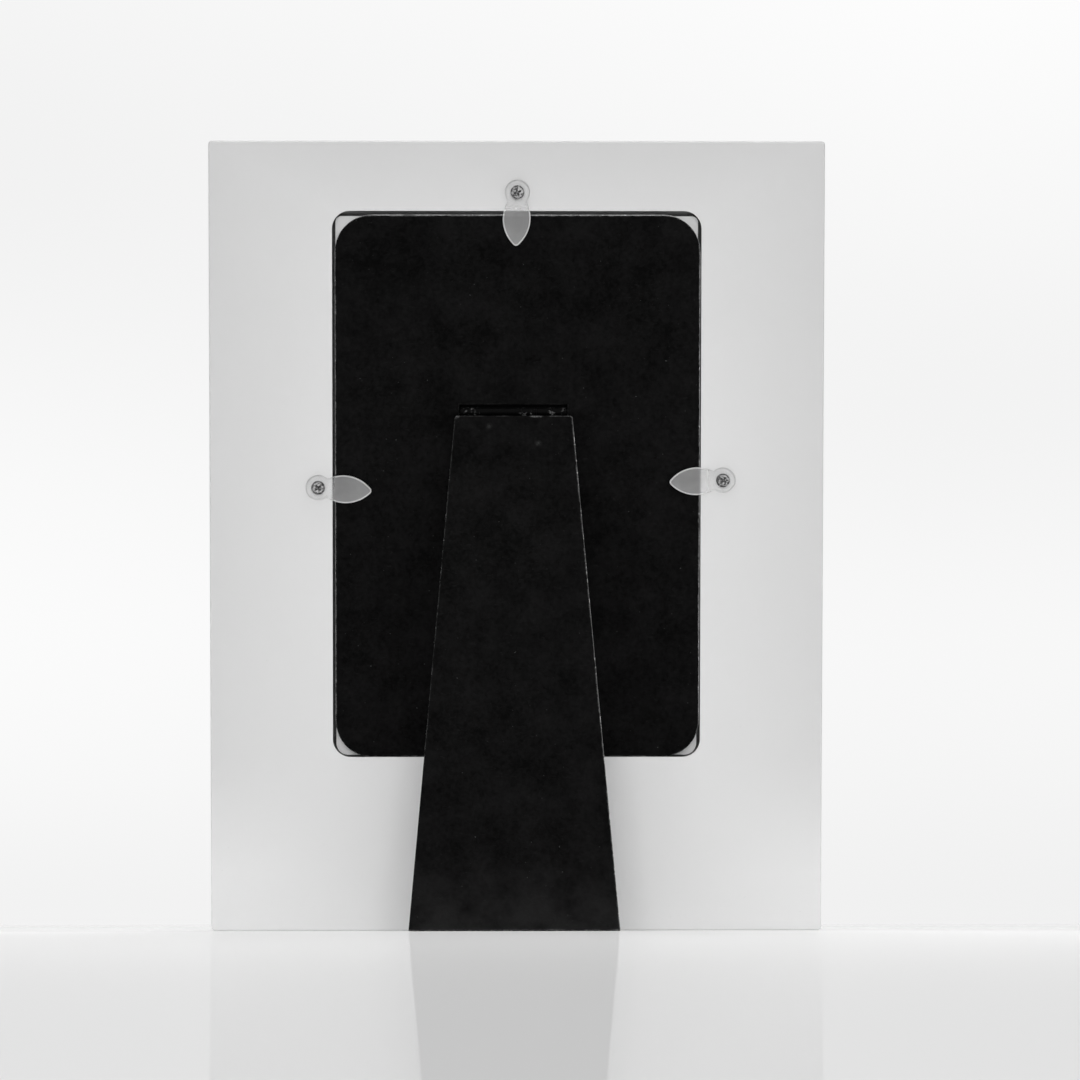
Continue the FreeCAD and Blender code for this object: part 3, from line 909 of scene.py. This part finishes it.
def turn_button(side):
    """A moulded turn button: a flat blade with a raised, rounded rim and a boss under its screw."""
    mesh = new_mesh("rim", "blade")
    outline = button_outline()
    top = button_thickness
    soft = button_edge_round
    floor = top - button_rim_height
    profile = [(soft * step, soft * up) for step, up in button_side_shares]
    profile += [(step, top - up) for step, up in reversed(profile)]
    outer = moulding(mesh, outline, profile)
    profile = [(soft * step, top - soft * down) for step, down in button_lip_shares]
    profile += [(soft * step, floor + soft * up) for step, up in button_pocket_shares]
    pocket = moulding(mesh, pocket_outline(outline), profile)
    hole = moulding(mesh, circle(button_hole_radius, hole_corners)[::-1], [(0, 0), (0, top)])
    cap(mesh, outer[0], hole[0])
    cap(mesh, outer[-1], pocket[0], hole[-1])
    cap(mesh, pocket[-1])
    head = button_head_radius * MM
    above_foot = outer[len(button_side_shares) - 1:]
    weigh(mesh, "rim", above_foot, lambda c: 1.0 if c.co.x > head else 0.0)
    lip = pocket[:len(button_lip_shares)]
    lip_start = head * button_lip_start_share
    weigh(mesh, "rim", lip, lambda c: 1.0 if c.co.x > lip_start else 0.0)
    past_head = (button_length - button_head_radius) * MM
    weigh(mesh, "blade", outer + pocket, lambda c: max(0.0, (c.co.x - head) / past_head))
    name = "turn_button_" + side
    seat = turned_box(name, panel_axes)[1].y
    centre = joint_place("button_" + side + "_turn", panel_axes)
    place = Vector((centre.x, seat, centre.z)) * MM
    heading = Matrix.Rotation(math.radians(-button_headings[side]), 4, "Y")
    matrix = panel_axes @ Matrix.Translation(place) @ heading
    finish_piece(name + "_moulding", mesh, matrix, "button_" + side, name, "button_plastic")


def recess_at(x, z):
    """How deep the cross recess is at a point of the screw's head."""
    depth = 0.0
    for u, v in ((abs(x), abs(z)), (abs(z), abs(x))):
        along = clamped((recess_arm - u) / (recess_arm - recess_floor_arm))
        within = clamped((recess_width / 2 - v) / recess_wall)
        depth = max(depth, recess_depth * along * within * within * (3 - 2 * within))
    return depth


def drop_at(dome, away):
    """How far a dome of some radius falls at a distance from its middle."""
    return dome - math.sqrt(dome**2 - away**2)


def screw_face(mesh, side, radius, head, dome):
    """The screw head's face, in loops from its rim to its middle."""
    shade = mesh.verts.layers.float["recess"]
    loops = []
    for number in range(screw_rings + 1):
        reach = (radius - screw_edge_round) * (1 - number / screw_rings)
        loop = []
        for x, z in circle(max(reach, radius / screw_rings * screw_eye_share), screw_corners):
            away = Vector((x, z)).length
            place = Vector((x, z, screw_turns[side]))
            deep = recess_at(x, z)
            dent = screw_dent * noise.noise(place * screw_dents_per_mm)
            height = head - drop_at(dome, away) - deep + min(dent, 0.0)
            corner = mesh.verts.new((x * MM, -height * MM, z * MM))
            # Painted reflection: the rim, painted dark in blotches
            rim = clamped((away / radius - screw_rim_share) / (1 - screw_rim_share))
            blotch = screw_rim_blotch * noise.noise(place * screw_blotches_per_mm)
            rim *= screw_rim_shade + blotch
            # Painted shade in the cross recess
            recess = recess_shade * clamped(deep / recess_depth * recess_shade_rise)
            corner[shade] = max(recess, clamped(rim))
            loop.append(corner)
        loops.append(loop)
    return loops


def screw_head(side):
    """A domed screw head on its shank and point."""
    name = "screw_" + side
    low, high = turned_box(name, panel_axes)
    seat = turned_box("turn_button_" + side, panel_axes)[0].y
    head = seat - low.y
    radius = (high.x - low.x) / 2
    rise = head - screw_rim_height
    dome = (radius**2 + rise**2) / (2 * rise)
    soft = screw_edge_round
    mesh = new_mesh("recess")
    loops = screw_face(mesh, side, radius, head, dome)
    for first, second in zip(loops, loops[1:]):
        band(mesh, first, second)
    cap(mesh, loops[-1])
    edge = head - drop_at(dome, radius - soft)
    inwards, down = screw_edge_shares
    wall = [
        (radius - soft * inwards, edge - soft * down),
        (radius, edge - soft),
        (radius, button_gap + soft / 2),
        (radius - soft / 2, button_gap),
        (screw_shank_radius, button_gap),
        (screw_shank_radius, seat - high.y + screw_point_length),
        (screw_shank_radius * screw_tip_share, seat - high.y),
    ]
    last = loops[0]
    for reach, height in wall:
        loop = loop_at(mesh, circle(reach, screw_corners), height)
        band(mesh, last, loop)
        last = loop
    cap(mesh, last)
    centre = (low + high) / 2
    place = Vector((centre.x, seat, centre.z)) * MM
    turn = Matrix.Rotation(math.radians(-screw_turns[side]), 4, "Y")
    matrix = panel_axes @ Matrix.Translation(place) @ turn
    finish_piece(name + "_domed", mesh, matrix, "frame", name, "screw_zinc", screw_crease_angle)


def round_corners(low, high, radius, count):
    """The outline of a rectangle with round corners, counter-clockwise."""
    centres = [
        (high.x - radius, high.z - radius, 0),
        (low.x + radius, high.z - radius, 90),
        (low.x + radius, low.z + radius, 180),
        (high.x - radius, low.z + radius, 270),
    ]
    corners = []
    for x, z, start in centres:
        for n in range(count + 1):
            turn = math.radians(start + 90 * n / count)
            corners.append(Vector((x + radius * math.cos(turn), z + radius * math.sin(turn))))
    return corners


def paper_profile(thickness, start):
    """A sheet's cut edge: up its side and round onto its face, above the plane at start."""
    return [(paper_edge_round * step, start + thickness * up) for step, up in paper_edge_shares]


def board_paper():
    """The black paper on the backing board, cut round the hinge's slot."""
    low, high = turned_box("board_facing", panel_axes)
    pin = joint_place("leg_hinge", panel_axes)
    mesh = new_mesh("wear_and_highlight")
    trim = board_paper_insets
    cut_low = Vector((low.x + trim["left"], low.y, low.z + trim["foot"]))
    cut_high = Vector((high.x - trim["right"], high.y, high.z - trim["top"]))
    corners = round_corners(cut_low, cut_high, board_paper_corner_radius, board_corner_steps)
    outline = frayed(along_edges(corners, paper_edge_step), *board_fray)
    profile = paper_profile(high.y - low.y, -high.y)
    edge = moulding(mesh, outline, profile)
    slot = [
        Vector((pin.x - slot_length / 2, pin.z - slot_drop)),
        Vector((pin.x - slot_length / 2, pin.z + slot_rise)),
        Vector((pin.x + slot_length / 2, pin.z + slot_rise)),
        Vector((pin.x + slot_length / 2, pin.z - slot_drop)),
    ]
    mouth = moulding(mesh, along_edges(slot, paper_edge_step), profile)
    cap(mesh, edge[-1], mouth[-1])
    cap(mesh, edge[0], mouth[0])
    weigh(mesh, "wear_and_highlight", edge[:rubbed_loops], edge_wear(*board_rub))
    weigh(mesh, "wear_and_highlight", mouth[:rubbed_loops], edge_wear(*slot_rub))
    finish_piece("board_paper", mesh, panel_axes, "frame", "board_facing", "black_paper")


def lump_at(x, z):
    """How far the prongs under the paper lift it at a point, measured from the pin."""
    height = 0.0
    for side, shares in zip((-1, 1), lump_shares):
        for drop, share in zip(prong_drops, shares):
            away = (Vector((x, z)) - Vector((side * prong_spread / 2, -drop))).length
            height += share * lump_height * math.exp(-((away / lump_radius) ** 2))
    return height


def lump_patch(mesh, pin, face):
    """A fine grid of paper over the four prongs. Returns the loop of corners round it."""
    wear_and_highlight = mesh.verts.layers.float["wear_and_highlight"]
    wide = prong_spread / 2 + patch_margin
    top = -prong_drops[0] + patch_top_margin
    foot = -prong_drops[1] - patch_margin
    columns = round(2 * wide / patch_step)
    rows = round((top - foot) / patch_step)
    grid = []
    for row in range(rows + 1):
        z = foot + (top - foot) * row / rows
        line = []
        for column in range(columns + 1):
            x = -wide + 2 * wide * column / columns
            inner = 0 < row < rows and 0 < column < columns
            height = face + (lump_at(x, z) if inner else 0.0)
            corner = mesh.verts.new(((pin.x + x) * MM, -height * MM, (pin.z + z) * MM))
            # Wear and painted highlight: the higher a lump, the paler its paper
            corner[wear_and_highlight] = lump_rub_and_highlight * (height - face) / lump_height
            line.append(corner)
        grid.append(line)
    for below, above in zip(grid, grid[1:]):
        for n in range(columns):
            mesh.faces.new((below[n], below[n + 1], above[n + 1], above[n]))
    left = [line[0] for line in grid[1:-1]]
    right = [line[-1] for line in grid[1:-1]]
    return grid[0] + right + grid[-1][::-1] + left[::-1]


def leg_corners(low, high, pin, worn):
    """The corners of the tapering leg, whose right side is worn back a little."""
    half = leg_top_width / 2
    clip = leg_corner_chamfer
    return [
        Vector((high.x - worn, low.z)),
        Vector((pin.x + half - worn, high.z - clip)),
        Vector((pin.x + half - clip - worn, high.z)),
        Vector((pin.x - half + clip, high.z)),
        Vector((pin.x - half, high.z - clip)),
        Vector((low.x, low.z)),
    ]


def rub_leg(mesh, edge, low, high, pin):
    """Rubs the leg paper's cut edges, most on the right, and two places on top, also painted highlights."""
    rub = edge_wear(*leg_rub)
    centre = (low.x + high.x) / 2 * MM

    def value(corner):
        return rub(corner) * (1.0 if corner.co.x > centre else leg_left_rub_share)

    weigh(mesh, "wear_and_highlight", edge[:rubbed_loops], value)
    start = (high.z - leg_rubbed_highlight_depth) * MM
    top = [corner for loop in edge[side_loops:] for corner in loop if corner.co.z > start]
    for place, half_length in leg_rubbed_highlight_places:
        spot = [c for c in top if abs(c.co.x * PER_MM - pin.x - place) < half_length]
        weigh(mesh, "wear_and_highlight", [spot], 1.0)


def leg_paper(node, name, worn, lumps):
    """The black paper on one face of the leg, with the hinge's lumps where they are asked for."""
    low, high = turned_box(node, leg_axes)
    pin = joint_place("leg_hinge", leg_axes)
    mesh = new_mesh("wear_and_highlight")
    outline = along_edges(leg_corners(low, high, pin, worn), paper_edge_step)
    profile = paper_profile(high.y - low.y, -high.y)
    if not lumps:
        profile = [(step, -low.y - high.y - height) for step, height in profile]
    edge = moulding(mesh, frayed(outline, *leg_fray), profile)
    cap(mesh, edge[0])
    if lumps:
        cap(mesh, edge[-1], lump_patch(mesh, pin, profile[-1][1]))
    else:
        cap(mesh, edge[-1])
    rub_leg(mesh, edge, low, high, pin)
    finish_piece(name, mesh, leg_axes, "leg", node, "black_paper")


# The studio: camera, floor, background and lamps


def set_camera():
    """The camera at the photograph's place, looking slightly up at the frame."""
    data = bpy.data.cameras.new("camera")
    data.lens = camera_lens
    data.sensor_width = camera_sensor
    made = add_object("camera", data)
    yaw = math.radians(camera_yaw)
    pitch = math.radians(camera_pitch)
    level = math.cos(pitch)
    ahead = Vector((math.sin(yaw) * level, math.cos(yaw) * level, math.sin(pitch)))
    roll = Quaternion((0, 0, 1), math.radians(camera_roll))
    made.location = camera_place * MM
    made.rotation_mode = "QUATERNION"
    made.rotation_quaternion = ahead.to_track_quat("-Z", "Y") @ roll
    bpy.context.scene.camera = made


def ramp(tree, value, stops):
    """Grey levels along a value."""
    node = add_node(tree, "ShaderNodeValToRGB", {"Fac": value})
    node.color_ramp.interpolation = "B_SPLINE"
    elements = node.color_ramp.elements
    while len(elements) < len(stops):
        elements.new(0.5)
    for element, (place, level) in zip(elements, stops):
        element.position = place
        element.color = grey(level)
    return node.outputs["Color"]


def set_world():
    """A white studio: an even light, and behind the frame a softly shaded pale backdrop."""
    world = bpy.data.worlds.new("studio")
    world.use_nodes = True
    bpy.context.scene.world = world
    tree = world.node_tree
    tree.nodes.clear()
    parts = parts_of(tree, add_node(tree, "ShaderNodeTexCoord").outputs["Generated"])
    height = spread(tree, parts["Z"], 0.0, sky_top)
    side = spread(tree, parts["X"], -sky_side, sky_side)
    left, right = [ramp(tree, height, stops) for stops in (left_stops, right_stops)]
    colour = mixed_colour(tree, side, left, right)
    path = add_node(tree, "ShaderNodeLightPath").outputs
    seen = maths(tree, "MAXIMUM", path["Is Camera Ray"], path["Is Glossy Ray"])
    seen = maths(tree, "MAXIMUM", seen, path["Is Transmission Ray"])
    light = add_node(tree, "ShaderNodeBackground", {"Color": grey(1.0), "Strength": light_level})
    backdrop = add_node(tree, "ShaderNodeBackground", {"Color": colour, "Strength": 1.0})
    mixed = mixed_shader(tree, seen, light.outputs["Background"], backdrop.outputs["Background"])
    add_node(tree, "ShaderNodeOutputWorld", {"Surface": mixed})


def pale_floor():
    """A matte, faintly mirroring surface that fades into the backdrop with distance."""
    made, tree = new_material("pale_floor")
    place = millimetres(tree)
    centre = (0.0, floor_middle, 0.0)
    away = add_node(tree, "ShaderNodeVectorMath", {0: place, 1: centre}, operation="DISTANCE")
    depth = spread(tree, parts_of(tree, place)["Y"], *floor_depths)
    tone = between(tree, depth, floor_greys)
    matte = add_node(tree, "ShaderNodeBsdfDiffuse", {"Color": tone}).outputs["BSDF"]
    gloss = {"Color": grey(1.0), "Roughness": floor_mirror_rough}
    mirror = add_node(tree, "ShaderNodeBsdfGlossy", gloss).outputs["BSDF"]
    share = spread(tree, depth, 0.0, 1.0, *floor_mirror_shares)
    surface = mixed_shader(tree, share, matte, mirror)
    open_air = add_node(tree, "ShaderNodeBsdfTransparent").outputs["BSDF"]
    fade = spread(tree, away.outputs["Value"], *floor_fade)
    show(tree, mixed_shader(tree, fade, surface, open_air))
    return made


def floor_sheet():
    """The flat sheet under the frame."""
    mesh = bmesh.new()
    half = floor_half * MM
    corners = [(-half, -half), (half, -half), (half, half), (-half, half)]
    mesh.faces.new([mesh.verts.new((x, y, 0)) for x, y in corners])
    data = bpy.data.meshes.new("floor")
    mesh.to_mesh(data)
    mesh.free()
    data.materials.append(pale_floor())
    made = add_object("floor", data)
    made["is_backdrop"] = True


def set_lamps():
    """Large soft lamps round and over the frame, unseen by the camera."""
    for name, (place, aim, (wide, deep), power) in lamps.items():
        data = bpy.data.lights.new(name, "AREA")
        data.shape = "RECTANGLE"
        data.size = wide * MM
        data.size_y = deep * MM
        data.energy = power
        made = add_object(name, data)
        made.location = Vector(place) * MM
        made.rotation_mode = "QUATERNION"
        made.rotation_quaternion = (Vector(aim) - Vector(place)).to_track_quat("-Z", "Y")
        made.visible_camera = False
        made.visible_glossy = name not in unseen_in_gloss


# Build it

materials = {
    "panel_lacquer": panel_lacquer(),
    "black_paper": black_paper(),
    "board_core": board_core(),
    "insert_paper": insert_paper(),
    "clear_glass": clear_glass(),
    "hinge_steel": hinge_steel(),
    "button_plastic": button_plastic(),
    "screw_zinc": screw_zinc(),
}
for node, slot in finishes.items():
    slots = frame["nodes"][node].data.materials
    slots.clear()
    slots.append(materials[slot])

bpy.context.scene.view_settings.view_transform = "Standard"
set_camera()
set_world()
set_lamps()
floor_sheet()
board_paper()
leg_paper("leg_facing_outer", "leg_paper_outer", leg_worn_side, True)
leg_paper("leg_facing_inner", "leg_paper_inner", 0.0, False)
for side in button_headings:
    turn_button(side)
    screw_head(side)

[[list(corner) for corner in box] for box in (cad_box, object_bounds())]
